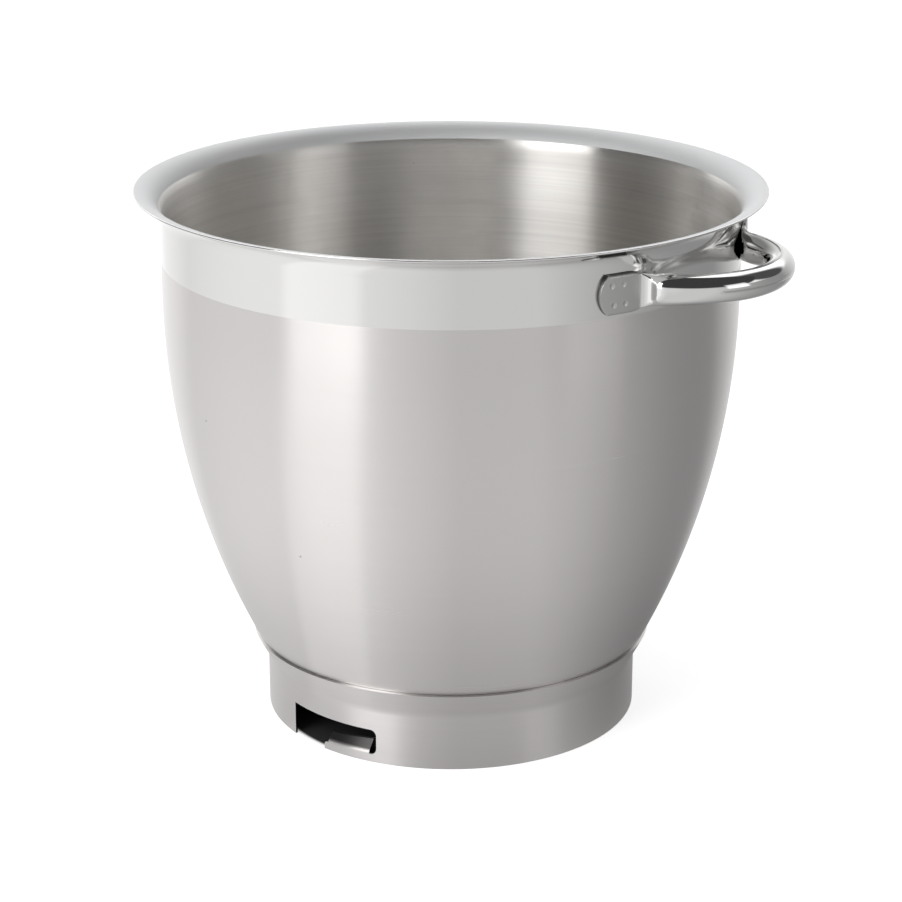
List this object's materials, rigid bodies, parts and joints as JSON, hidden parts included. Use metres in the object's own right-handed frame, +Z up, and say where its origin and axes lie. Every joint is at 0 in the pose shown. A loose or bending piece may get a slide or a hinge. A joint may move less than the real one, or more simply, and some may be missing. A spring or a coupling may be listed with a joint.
{
  "type": "stand mixer bowl",
  "caption": "Deep metal mixing bowl with a flared rim, a short cylindrical foot with L-shaped bayonet slots, and a loop handle of bent tube fixed below the rim.",
  "frame": {"origin": "on the bowl's axis, at the level of the surface that the foot stands on", "axes": "+Z up along the bowl's axis, +X from the axis towards the middle of the handle"},
  "size_m": [0.2774, 0.256, 0.224],
  "materials": {
    "bowl_steel": "stainless steel, finely brushed round the axis, with a polished band below the rim",
    "foot_steel": "stainless steel, finely brushed round the axis",
    "handle_steel": "mirror-polished stainless steel, not plated; the flattened ends are satin"
  },
  "bodies": {
    "root": {"bowl": "bowl_steel", "foot_ring": "foot_steel", "handle": "handle_steel"}
  },
  "joints": []
}
